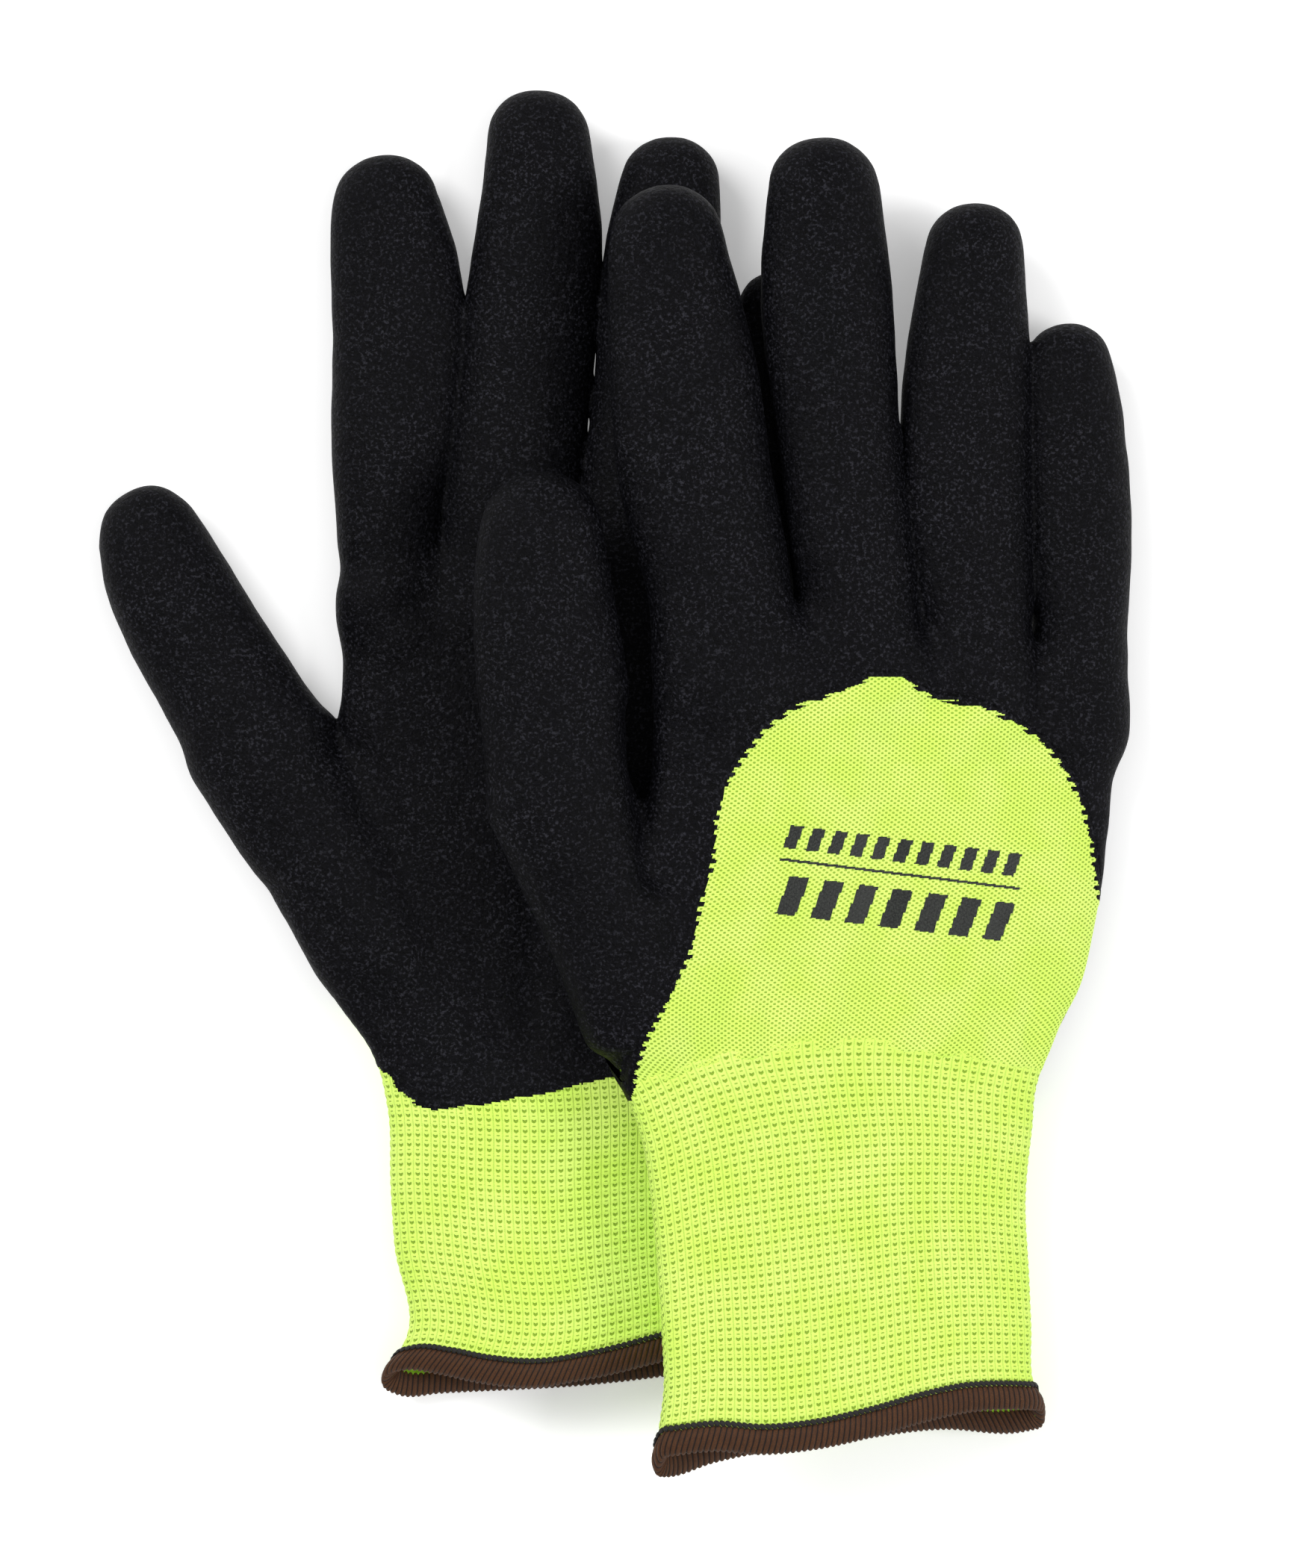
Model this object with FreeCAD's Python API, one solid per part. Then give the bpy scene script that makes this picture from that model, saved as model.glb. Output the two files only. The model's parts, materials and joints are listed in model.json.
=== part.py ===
"""A pair of dipped knit work gloves lying on a table, in millimetres.

Row frame: X right, Y towards the fingertips, Z up, with the table at Z = 0 and the origin in the middle of
the pair's footprint. The left glove lies flat with its palm up. The right glove lies with its back up, its
thumb side resting on the left glove and its little-finger side on the table, so it is rolled about Y.

Each glove is a seamless knit hand, with a ribbed knit cuff, dipped in a foam coating that leaves a window of
bare knit on the back. The cuff's end is bound by an overlocked hem. Fingers flex in two places, so each has
a lower and a tip segment, and V notches on the side that closes leave the segments room to turn.

Every glove is built in its own plane: x across, y from the wrist to the fingertips, z up from its underside.
Its bodies start as flat outlines with rounded corners, are raised to the glove's thickness and have their
edges rounded. A body's "inset" is how far its wall lies inside the glove's outer surface.
"""

import FreeCAD, Part

import math
import os
from collections import namedtuple

from FreeCAD import Vector

# Layers of the wall, from the outside in.
COATING = 0.8  # foam dip
KNIT = 1.2  # seamless knit of the hand and fingers
CUFF_KNIT = 1.8  # heavier rib knit of the cuff
LAYER_GAP = 0.05  # keeps bonded layers apart as solids
PRINT = 0.14  # printed film on the back
HAIR_GAP = 0.01  # keeps the print and the elastic yarns apart from the knit as solids

KNIT_OUT = COATING + LAYER_GAP
KNIT_IN = KNIT_OUT + KNIT
CUFF_IN = KNIT_OUT + CUFF_KNIT

# Cuff and hem, measured along y from the wrist line at y = 0.
CUFF_LENGTH = 77.0
TONGUE = 18.0  # the coating runs this far down over the cuff on the palm side
HEM_HEIGHT = 5.5
HEM_PROUD = 0.8  # hem thread outside the cuff, and as much inside
HEM_WRAP = 1.2  # thread below the cuff's cut end
STITCH_HEIGHT = 1.0  # black looper stitch above the hem
STITCH_PROUD = 0.7
ELASTIC_COUNT = 8
ELASTIC_SIZE = 0.4
ELASTIC_FROM_HEM = 5.0  # first elastic yarn above the hem
ELASTIC_FROM_WRIST = 6.0  # last elastic yarn below the wrist line

# Fingers.
FIRST_HINGE = 11.0  # from the root to the first flex line, along the finger
HINGE_GAP = 0.6
ROOT_OVERLAP = 14.0  # how far a finger runs back into the palm
STUB_SPARE = 10.0  # how far a stub is drawn past its flex line before it is cut
# A fingertip's outline is blunted through two corners, as shares of its half width: (back from the tip, out).
TIP_CORNERS = ((0.25, 0.7), (0.0, 0.3))
CUT_SPARE = 1.0  # how far a cutting body stands out past what it cuts

# Rounding of the outlines and of their edges.
THICKNESS = 13.4
EDGE_RADIUS = 5.8
CORNER_RADIUS = 7.2  # outward corners; a little under the half width of the slimmest finger
WEB_RADIUS = 0.8  # inward corners between the fingers

BIG = 400.0  # larger than the pair, for trimming

# Half widths are at the root, halfway and before the round tip. Flex is the range of the two flex lines, degrees.
Finger = namedtuple("Finger", "root tip half_widths flex")
# A glove's wrist is where its wrist line's middle stands in the row frame. Its roll turns it about its low edge.
Glove = namedtuple("Glove", "wrist roll roll_edge lift palm_up sections thumb_base fingers hem_slant")
# One section of the palm and cuff: place along y, centre in x, half width.
Section = namedtuple("Section", "y centre half_width")

LEFT_FLEX = (60.0, 66.0)  # towards the palm, which faces up
LEFT_THUMB_FLEX = (45.0, 49.5)
RIGHT_FLEX = (40.0, 32.0)  # back over the hand, as its palm faces the table
RIGHT_THUMB_FLEX = (35.0, 28.0)

LEFT = Glove(
    wrist=(-5.9, -41.0),
    roll=0.0,
    roll_edge=0.0,
    lift=0.0,
    palm_up=True,
    sections=(
        Section(-100, 0.0, 39.5),
        Section(-74, -0.2, 38.8),
        Section(-55, 0.4, 36.2),
        Section(-30, -0.4, 37.8),
        Section(-12, -1.4, 39.5),
        Section(0, -4.3, 43.7),
        Section(20, -5.2, 46.7),
        Section(45, -2.4, 44.8),
        Section(89, -2.0, 44.4),
    ),
    thumb_base=Finger((-64.6, 50.0), (-33.0, 0.0), (13.6, 13.2, 9.5), None),
    fingers={
        "thumb": Finger((-63.6, 48.6), (-88.1, 98.0), (14.0, 12.0, 9.8), LEFT_THUMB_FLEX),
        "index": Finger((-37.6, 91.4), (-38.6, 161.7), (9.4, 11.4, 9.8), LEFT_FLEX),
        "middle": Finger((-15.0, 92.9), (-9.0, 174.1), (11.6, 11.8, 9.4), LEFT_FLEX),
        "ring": Finger((9.6, 92.9), (15.9, 165.3), (11.0, 10.4, 9.0), LEFT_FLEX),
        "little": Finger((31.0, 84.0), (37.0, 139.7), (9.0, 8.3, 7.6), LEFT_FLEX),
    },
    hem_slant=4.0,
)
RIGHT = Glove(
    wrist=(43.4, -49.6),
    roll=13.0,
    roll_edge=52.4,
    lift=-0.55,
    palm_up=False,
    sections=(
        Section(-100, -1.0, 40.2),
        Section(-74, -1.6, 38.4),
        Section(-55, -3.1, 35.9),
        Section(-30, -4.3, 36.4),
        Section(-12, -5.4, 39.2),
        Section(0, -6.9, 44.4),
        Section(20, -2.9, 47.6),
        Section(45, 3.3, 45.4),
        Section(81, 6.2, 45.6),
    ),
    thumb_base=Finger((-58.6, 48.0), (-36.0, -4.0), (13.8, 13.4, 9.8), None),
    fingers={
        "thumb": Finger((-58.6, 46.4), (-63.0, 108.2), (13.8, 13.6, 11.0), RIGHT_THUMB_FLEX),
        "index": Finger((-28.2, 85.7), (-38.8, 162.4), (13.2, 13.6, 10.6), RIGHT_FLEX),
        "middle": Finger((-1.4, 84.3), (-8.2, 172.3), (11.5, 11.8, 10.3), RIGHT_FLEX),
        "ring": Finger((21.7, 80.0), (21.3, 160.6), (10.9, 11.4, 9.6), RIGHT_FLEX),
        "little": Finger((43.6, 77.1), (41.6, 138.0), (8.7, 9.0, 7.9), RIGHT_FLEX),
    },
    hem_slant=6.0,
)
GLOVES = {"left": LEFT, "right": RIGHT}

# The bare knit window on the back, as an arch from the thumb side to the little-finger side, in a glove's plane.
WINDOW_ARCH = (
    (-43.0, -4.0), (-34.8, 15.0), (-29.7, 30.0), (-27.1, 47.0), (-14.8, 64.0), (0.7, 69.7),
    (14.4, 66.0), (27.8, 63.0), (37.3, 55.7), (43.9, 41.4), (49.0, 28.0),
)
WINDOW_SIDE_LEVEL = THICKNESS / 2  # the window's cut stops at this height, at the glove's widest level
WINDOW_SIDE = 70.0  # the cut runs out this far to both sides, well past the glove
WINDOW_FLARE = 8.0  # and drops this far on the way

# The printed mark on the back: a thin rule between a row of tall bars and a row of short ones.
MARK_CENTRE = (7.3, 33.0)
MARK_TURN = -7.4
MARK_LENGTH = 47.0
RULE_HEIGHT = 0.5
TALL_BARS = (7, 9.0, -7.6)  # how many, height, place across the rule
SHORT_BARS = (11, 4.4, 5.4)
BAR_SHARE = 0.55  # of each bar's pitch that is printed
BAR_LEAN = 2.4


def hinge_places(finger):
    """Distances of both flex lines and of the tip from the finger's root, along the finger."""
    length = math.dist(finger.root, finger.tip)
    return FIRST_HINGE, (FIRST_HINGE + length) / 2, length


def finger_placement(finger):
    """Places a body drawn along +X from the origin so that it runs from the finger's root to its tip."""
    turn = math.degrees(math.atan2(finger.tip[1] - finger.root[1], finger.tip[0] - finger.root[0]))
    return FreeCAD.Placement(Vector(*finger.root, 0), FreeCAD.Rotation(Vector(0, 0, 1), turn))


def glove_placement(glove):
    """Places a body drawn in the glove's own plane into the row frame."""
    shift = FreeCAD.Placement(Vector(glove.wrist[0], glove.wrist[1], glove.lift), FreeCAD.Rotation())
    roll = FreeCAD.Placement(
        Vector(0, 0, 0), FreeCAD.Rotation(Vector(0, 1, 0), glove.roll), Vector(glove.roll_edge, 0, 0)
    )
    return shift.multiply(roll)


def flat_shape(points):
    """A flat face from a list of corner points."""
    return Part.Face(Part.makePolygon([Vector(x, y) for x, y in points + points[:1]]))


def rounded(face):
    """A flat face with its outward and inward corners rounded."""
    return face.makeOffset2D(-CORNER_RADIUS).makeOffset2D(CORNER_RADIUS + WEB_RADIUS).makeOffset2D(-WEB_RADIUS)


def raised(face, inset):
    """A flat face, taken in by an inset and raised to the glove's thickness, with rounded edges."""
    if inset:
        face = face.makeOffset2D(-inset)
    face = face.translated(Vector(0, 0, inset))
    body = face.extrude(Vector(0, 0, THICKNESS - 2 * inset))
    rims = [edge for edge in body.Edges if edge.BoundBox.ZLength < THICKNESS / 2]
    return body.makeFillet(EDGE_RADIUS - inset, rims)


def finger_face(finger, end):
    """A finger's outline along +X from the origin, from inside the palm to its tip or to a nearer end."""
    root, middle, near_tip = finger.half_widths
    length = math.dist(finger.root, finger.tip)
    side = [(-ROOT_OVERLAP, root), (0, root)]
    if end < length:
        side.append((end, root + (middle - root) * end / (length / 2)))
    else:
        side.append((length / 2, middle))
        side.append((length - near_tip, near_tip))
        side.extend((length - near_tip * back, near_tip * out) for back, out in TIP_CORNERS)
    return flat_shape([(s, -w) for s, w in side] + side[::-1])


def trunk_face(glove):
    """The outline of the palm and cuff, from past the hem to the roots of the fingers."""
    right = [(s.centre + s.half_width, s.y) for s in glove.sections]
    left = [(s.centre - s.half_width, s.y) for s in reversed(glove.sections)]
    return flat_shape(right + left)


def hand_face(glove):
    """The outline of the palm and cuff with the base of the thumb and the stubs of the fingers."""
    base = finger_face(glove.thumb_base, math.inf)
    base.Placement = finger_placement(glove.thumb_base)
    faces = [base]
    for finger in glove.fingers.values():
        stub = finger_face(finger, FIRST_HINGE + STUB_SPARE)
        stub.Placement = finger_placement(finger)
        faces.append(stub)
    return trunk_face(glove).multiFuse(faces).removeSplitter().Faces[0]


def side_prism(outline, half_width):
    """A prism across a finger, from an outline of (distance along, height) points."""
    wire = Part.makePolygon([Vector(s, -half_width, z) for s, z in outline + outline[:1]])
    return Part.Face(wire).extrude(Vector(0, 2 * half_width, 0))


def segment_prism(finger, start, end):
    """The slab of a finger between two places, with half a V notch at each end that is a flex line."""
    middle = THICKNESS / 2
    left, right = start, end
    left_top, right_top = start, end
    first, second, _ = hinge_places(finger)
    for place, flex in zip((first, second), finger.flex):
        notch = THICKNESS * math.tan(math.radians(flex / 2))
        if start == place:
            left = start + HINGE_GAP / 2
            left_top = left + notch
        if end == place:
            right = end - HINGE_GAP / 2
            right_top = right - notch
    outline = [
        (left, -THICKNESS), (left, middle), (left_top, middle + THICKNESS),
        (right_top, middle + THICKNESS), (right, middle), (right, -THICKNESS),
    ]
    return side_prism(outline, max(finger.half_widths) + CUT_SPARE)


def beyond_hinge(finger):
    """All of a finger past its first flex line, with the half of the V notch that is on the hand."""
    middle = THICKNESS / 2
    start = FIRST_HINGE - HINGE_GAP / 2
    notch = THICKNESS * math.tan(math.radians(finger.flex[0] / 2))
    end = FIRST_HINGE + 2 * STUB_SPARE
    outline = [
        (start, -THICKNESS), (start, middle), (start - notch, middle + THICKNESS),
        (end, middle + THICKNESS), (end, -THICKNESS),
    ]
    prism = side_prism(outline, max(finger.half_widths[:2]) + CUT_SPARE / 2)
    prism.Placement = finger_placement(finger)
    return prism


def finger_layer(finger, start, end, outer, inner):
    """One layer of a finger between two places along it, as a tube or, at the tip, a cup."""
    face = rounded(finger_face(finger, math.inf))
    layer = raised(face, outer).cut(raised(face, inner)).common(segment_prism(finger, start, end))
    layer.Placement = finger_placement(finger)
    return layer


def trunk_layer(glove, outer, inner):
    """One layer of the palm and cuff."""
    face = rounded(trunk_face(glove))
    return raised(face, outer).cut(raised(face, inner))


def hand_layer(glove, outer, inner):
    """One layer of the hand, open towards each finger at its first flex line."""
    face = rounded(hand_face(glove))
    layer = raised(face, outer).cut(raised(face, inner))
    return layer.cut([beyond_hinge(finger) for finger in glove.fingers.values()])


def beyond(y):
    """Everything on the fingers' side of a line across the glove, as a box."""
    return Part.makeBox(BIG, BIG, BIG, Vector(-BIG / 2, y, -BIG / 2))


def hem_slab(glove, start, end):
    """The slab between two distances above the cuff's cut end, which is slanted."""
    centre = glove.sections[1].centre
    slab = Part.makeBox(BIG, end - start, BIG, Vector(-BIG / 2, start, -BIG / 2))
    slab.Placement = FreeCAD.Placement(
        Vector(centre, -CUFF_LENGTH, 0), FreeCAD.Rotation(Vector(0, 0, 1), glove.hem_slant)
    )
    return slab


def back_side(glove, outline):
    """A face's column through the glove's back: up from its widest level, or down if its palm faces up."""
    face = Part.Face(outline)
    depth = THICKNESS - WINDOW_SIDE_LEVEL + CUT_SPARE
    face.translate(Vector(0, 0, -CUT_SPARE if glove.palm_up else WINDOW_SIDE_LEVEL))
    return face.extrude(Vector(0, 0, depth))


def window(glove):
    """The cut that leaves the knit bare on the back and on the cuff."""
    arch = Part.BSplineCurve()
    arch.interpolate([Vector(x, y) for x, y in WINDOW_ARCH])
    start, end = WINDOW_ARCH[0], WINDOW_ARCH[-1]
    below = -2 * TONGUE
    corners = [
        end, (WINDOW_SIDE, end[1] - WINDOW_FLARE), (WINDOW_SIDE, below),
        (-WINDOW_SIDE, below), (-WINDOW_SIDE, start[1] - WINDOW_FLARE), start,
    ]
    frame = Part.makePolygon([Vector(*corner) for corner in corners])
    return back_side(glove, Part.Wire([arch.toShape()] + frame.Edges))


def coating_of_hand(glove):
    """The dip over the palm, the sides, the knuckles and the first stretch of each finger."""
    return hand_layer(glove, 0, COATING).common(beyond(-TONGUE)).cut(window(glove))


def knit_of_hand(glove):
    """The knit of the hand, from the wrist line to the first flex line of each finger."""
    return hand_layer(glove, KNIT_OUT, KNIT_IN).common(beyond(LAYER_GAP))


def cuff(glove):
    """The ribbed knit cuff, from its cut end to the wrist line, under the coating's tongue."""
    wrist_side = Part.makeBox(BIG, BIG, BIG, Vector(-BIG / 2, -BIG, -BIG / 2))
    return trunk_layer(glove, KNIT_OUT, CUFF_IN).common(hem_slab(glove, 0, BIG)).common(wrist_side)


def hem_binding(glove):
    """The overlocked thread that wraps the cuff's cut end, as a channel around it."""
    wrap = trunk_layer(glove, KNIT_OUT - HEM_PROUD, CUFF_IN + HEM_PROUD).common(
        hem_slab(glove, -HEM_WRAP, HEM_HEIGHT)
    )
    groove = trunk_layer(glove, KNIT_OUT - LAYER_GAP, CUFF_IN + LAYER_GAP)
    return wrap.cut(groove.common(hem_slab(glove, -LAYER_GAP, BIG)))


def hem_stitch(glove):
    """The black looper stitch that runs round the cuff above the hem."""
    start = HEM_HEIGHT + LAYER_GAP
    ring = trunk_layer(glove, KNIT_OUT - STITCH_PROUD, KNIT_OUT - LAYER_GAP)
    return ring.common(hem_slab(glove, start, start + STITCH_HEIGHT))


def cuff_elastic(glove):
    """Elastic yarns laid round the inside of the cuff, evenly spaced."""
    ring = trunk_layer(glove, CUFF_IN + HAIR_GAP, CUFF_IN + HAIR_GAP + ELASTIC_SIZE)
    first = HEM_HEIGHT + ELASTIC_FROM_HEM
    pitch = (CUFF_LENGTH - first - ELASTIC_FROM_WRIST) / (ELASTIC_COUNT - 1)
    rings = []
    for i in range(ELASTIC_COUNT):
        start = first + i * pitch
        rings.append(ring.common(hem_slab(glove, start, start + ELASTIC_SIZE)))
    return Part.makeCompound([solid for r in rings for solid in r.Solids])


def bar_row(count, height, level):
    """Leaning bars in a row along the mark's rule, as lists of corners."""
    pitch = MARK_LENGTH / count
    for i in range(count):
        left = -MARK_LENGTH / 2 + pitch * (i + (1 - BAR_SHARE) / 2)
        right = left + pitch * BAR_SHARE
        lean = BAR_LEAN * height / TALL_BARS[1]
        yield [
            (left - lean / 2, level - height / 2), (right - lean / 2, level - height / 2),
            (right + lean / 2, level + height / 2), (left + lean / 2, level + height / 2),
        ]


def back_print(glove):
    """A plain printed mark on the bare knit: a rule with a row of bars on each side."""
    half = MARK_LENGTH / 2
    rule = [(-half, 0), (half, 0), (half, RULE_HEIGHT), (-half, RULE_HEIGHT)]
    faces = [flat_shape(corners) for corners in [rule, *bar_row(*TALL_BARS), *bar_row(*SHORT_BARS)]]
    depth = KNIT_OUT - HAIR_GAP - PRINT
    level = depth if glove.palm_up else THICKNESS - depth - PRINT
    place = FreeCAD.Placement(Vector(*MARK_CENTRE, level), FreeCAD.Rotation(Vector(0, 0, 1), MARK_TURN))
    marks = [face.extrude(Vector(0, 0, PRINT)) for face in faces]
    for mark in marks:
        mark.Placement = place
    return Part.makeCompound(marks)


def finger_nodes(side, name, finger):
    """A finger's four nodes: the coating and the knit of its lower and tip segments."""
    first, second, length = hinge_places(finger)
    for segment, start, end in (("lower", first, second), ("tip", second, length + CUT_SPARE)):
        yield f"{side}_{name}_{segment}_coating", finger_layer(finger, start, end, 0, COATING)
        yield f"{side}_{name}_{segment}_knit", finger_layer(finger, start, end, KNIT_OUT, KNIT_IN)


def glove_nodes(side, glove):
    """Every node of one glove, in the glove's own plane."""
    yield f"{side}_hand_coating", coating_of_hand(glove)
    yield f"{side}_hand_knit", knit_of_hand(glove)
    yield f"{side}_cuff", cuff(glove)
    yield f"{side}_hem_binding", hem_binding(glove)
    yield f"{side}_hem_stitch", hem_stitch(glove)
    yield f"{side}_cuff_elastic", cuff_elastic(glove)
    yield f"{side}_back_print", back_print(glove)
    for name, finger in glove.fingers.items():
        yield from finger_nodes(side, name, finger)


def main():
    os.makedirs("parts", exist_ok=True)
    for side, glove in GLOVES.items():
        place = glove_placement(glove)
        for name, shape in glove_nodes(side, glove):
            solids = [solid.transformed(place.toMatrix()) for solid in shape.Solids]
            if not solids or not all(solid.isValid() for solid in solids):
                raise ValueError(f"{name} has no valid solid")
            node = solids[0] if len(solids) == 1 else Part.makeCompound(solids)
            node.exportStep(f"parts/{name}.step")


main()
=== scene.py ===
"""A pair of dipped knit work gloves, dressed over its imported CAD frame.

Each glove is worked out in its own plane, in millimetres: x across, y from the wrist to the fingertips, z up
from its underside. A place() at the end turns that into the row frame, in metres.
"""

import json
import math
from collections import namedtuple

import bpy
import numpy as np
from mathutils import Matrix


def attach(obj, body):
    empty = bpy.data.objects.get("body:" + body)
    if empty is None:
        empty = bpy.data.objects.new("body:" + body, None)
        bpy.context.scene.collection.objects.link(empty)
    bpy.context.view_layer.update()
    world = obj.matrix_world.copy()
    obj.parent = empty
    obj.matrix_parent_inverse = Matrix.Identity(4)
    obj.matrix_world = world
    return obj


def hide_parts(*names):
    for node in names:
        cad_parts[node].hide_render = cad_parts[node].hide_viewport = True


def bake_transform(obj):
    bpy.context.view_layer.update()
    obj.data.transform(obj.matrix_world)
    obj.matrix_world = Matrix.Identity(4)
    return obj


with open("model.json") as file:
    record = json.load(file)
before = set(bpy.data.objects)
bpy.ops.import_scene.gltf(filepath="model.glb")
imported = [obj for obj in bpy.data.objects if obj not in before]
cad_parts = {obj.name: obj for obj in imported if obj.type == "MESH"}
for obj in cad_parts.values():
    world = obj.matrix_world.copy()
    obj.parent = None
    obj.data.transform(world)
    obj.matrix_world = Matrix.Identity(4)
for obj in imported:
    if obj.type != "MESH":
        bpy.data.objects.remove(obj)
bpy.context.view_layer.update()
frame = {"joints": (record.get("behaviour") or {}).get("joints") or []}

import openvdb
from mathutils import Matrix

# ---------------------------------------------------------------- shape of the gloves, millimetres

Finger = namedtuple("Finger", "root tip stations height")
Glove = namedtuple(
    "Glove", "side wrist roll roll_edge lift palm_up trunk thumb_base fingers knuckles hem_line hem_lip"
)

# A finger's stations are (share of its length, sideways offset of its middle, half width).
# A trunk's stations are (y, centre, half width, half height).
LEFT = Glove(
    side="left",
    wrist=(-5.9, -41.0),
    roll=0.0,
    roll_edge=0.0,
    lift=0.0,
    palm_up=True,
    trunk=(
        (-86, -0.5, 40.0, 5.6), (-72, -0.5, 39.0, 6.4), (-65, 0.8, 35.9, 6.6), (-47, -0.1, 36.9, 6.3),
        (-35, -0.4, 37.6, 6.2), (-20, -0.5, 38.2, 6.2), (-10, -1.6, 39.8, 6.3), (0, -4.3, 43.7, 6.5),
        (8, -5.6, 46.2, 6.6), (20, -5.2, 46.7, 6.8), (34, -3.8, 45.8, 6.9), (50, -2.2, 44.8, 6.9),
        (70, -2.4, 44.9, 6.9), (90, -2.4, 44.9, 6.6),
    ),
    thumb_base=Finger(
        (-64.6, 50.0), (-35.0, 4.0),
        ((0, 0, 13.3), (0.4, 0, 13.4), (0.75, 0, 12.4), (1, 0, 9)), 7.6,
    ),
    fingers={
        "thumb": Finger(
            (-63.6, 48.6), (-86.2, 98.8),
            ((0, 0.9, 13.4), (0.25, -0.9, 12.9), (0.5, -2.0, 11.9), (0.75, -2.5, 10.6), (0.9, -2.2, 9.2)),
            7.6,
        ),
        "index": Finger(
            (-37.6, 91.4), (-39.3, 161.7),
            ((0, -0.4, 10.4), (0.25, 0.9, 11.7), (0.5, 2.0, 12.7), (0.75, 1.4, 11.9), (0.9, 0.4, 10.0)),
            7.6,
        ),
        "middle": Finger(
            (-15.0, 92.9), (-9.6, 174.2),
            ((0, -0.6, 12.9), (0.25, 0.9, 12.8), (0.5, 1.6, 12.6), (0.75, 1.7, 11.3), (0.9, 0.8, 9.6)),
            7.6,
        ),
        "ring": Finger(
            (9.6, 92.9), (15.7, 165.2),
            ((0, -0.3, 11.2), (0.25, 0.4, 11.0), (0.5, 0.6, 11.2), (0.75, 0.7, 10.8), (0.9, 0.8, 9.4)),
            7.2,
        ),
        "little": Finger(
            (31.0, 84.0), (37.0, 139.7),
            ((0, 0, 9.4), (0.25, 0, 9.0), (0.5, 0, 8.5), (0.75, 0, 8.0), (0.9, 0, 7.4)),
            6.6,
        ),
    },
    knuckles=((-45, 88), (40, 82)),
    hem_line=(
        (-39, -70.6), (-35, -69.6), (-28, -70.2), (-20, -71.7), (-10, -72.5), (0, -71.0),
        (15, -67.5), (42, -63),
    ),
    hem_lip=((-39, -73.0), (-34, -75.0), (-27, -74.6), (0, -73.2), (42, -67)),
)
RIGHT = Glove(
    side="right",
    wrist=(43.4, -49.6),
    roll=13.0,
    roll_edge=52.4,
    lift=-0.55,
    palm_up=False,
    trunk=(
        (-84, -1.2, 40.2, 6.2), (-73, -1.6, 38.4, 6.8), (-64, -2.8, 36.0, 6.8), (-54, -3.1, 35.9, 6.5),
        (-43, -3.6, 36.0, 6.3), (-31, -4.3, 36.4, 6.2), (-16, -4.9, 38.3, 6.2), (-8, -6.0, 40.2, 6.3),
        (0, -6.9, 44.4, 6.5), (8, -5.6, 47.2, 6.7), (22, -2.3, 47.6, 7.0), (45, 3.3, 45.4, 7.2),
        (66, 5.1, 45.1, 7.2), (84, 6.2, 45.8, 6.9),
    ),
    thumb_base=Finger(
        (-58.6, 48.0), (-37.0, -1.0),
        ((0, 0, 13.6), (0.4, 0, 13.6), (0.75, 0, 12.8), (1, 0, 9.5)), 7.8,
    ),
    fingers={
        "thumb": Finger(
            (-59.0, 46.4), (-63.3, 108.2),
            ((0, 0.6, 13.8), (0.25, 0.6, 14.1), (0.5, 0.3, 13.7), (0.75, 0.0, 12.3), (0.9, 0.0, 10.9)),
            8.0,
        ),
        "index": Finger(
            (-27.4, 85.7), (-38.0, 162.6),
            ((0, -0.4, 14.0), (0.25, -1.8, 14.4), (0.5, -2.0, 14.2), (0.75, -1.8, 12.4), (0.9, -1.4, 10.6)),
            8.0,
        ),
        "middle": Finger(
            (-0.6, 84.3), (-7.4, 172.4),
            ((0, -0.4, 11.8), (0.25, -1.4, 11.4), (0.5, -1.8, 12.1), (0.75, -1.8, 12.1), (0.9, -1.0, 10.6)),
            8.0,
        ),
        "ring": Finger(
            (22.5, 80.0), (22.3, 160.6),
            ((0, -0.1, 11.4), (0.25, -1.6, 12.2), (0.5, -2.0, 12.6), (0.75, -0.9, 11.1), (0.9, 0.0, 9.6)),
            7.8,
        ),
        "little": Finger(
            (42.8, 77.1), (40.6, 138.2),
            ((0, 0.3, 9.2), (0.25, 0.8, 9.8), (0.5, 0.9, 10.0), (0.75, 0.4, 9.2), (0.9, -0.1, 8.0)),
            7.2,
        ),
    },
    knuckles=((-35, 84), (50, 74)),
    hem_line=(
        (-41, -75.6), (-30, -74.2), (-21, -74.9), (-12, -74.2), (0, -72.0), (12, -69.2),
        (20, -67.9), (30, -67.8), (38, -68.6),
    ),
    hem_lip=((-41, -79.0), (-36, -79.6), (-28, -77.5), (0, -74.0), (17, -72.4), (30, -73.2), (38, -71.5)),
)
GLOVES = (LEFT, RIGHT)

FINGER_OVERLAP = 16.0  # a finger runs this far back into the palm
THUMB_OVERLAP = 7.0  # and a thumb this far past the bend at its root
FINGER_NARROWING = 0.10  # share of its width that it loses there
THUMB_NARROWING = 0.30
SECTION_POWER = 2.15  # roundness of a finger's section, 2 being an ellipse
TRUNK_POWER = 2.8
GRID_STEP = 1.3  # cell of the volume in which the skin is worked out

# Skin.
MIDDLE_LEVEL = 6.9  # height of a glove's widest level above its underside
VOLUME_LOW = (-104.0, -12.0, -3.0)  # the box in which a glove's skin is worked out
VOLUME_HIGH = (64.0, 182.0, 17.0)
PALM_SIDE_DISTANCE = 8.0  # the palm side counts as being this far outside the window
HAND_END = -3.6  # the coated hand runs this far down, under the top of the cuff
CUT_START = 2.0  # fingers are cut from the hand this far above their roots
BEND_START, BEND_END = -9.0, 11.0  # span about a root flex line; only its end is used, to set where a finger's two pieces part
MIDDLE_BEND = 10.0  # span to both sides of a middle flex line; it sets where a finger's two pieces part
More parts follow.
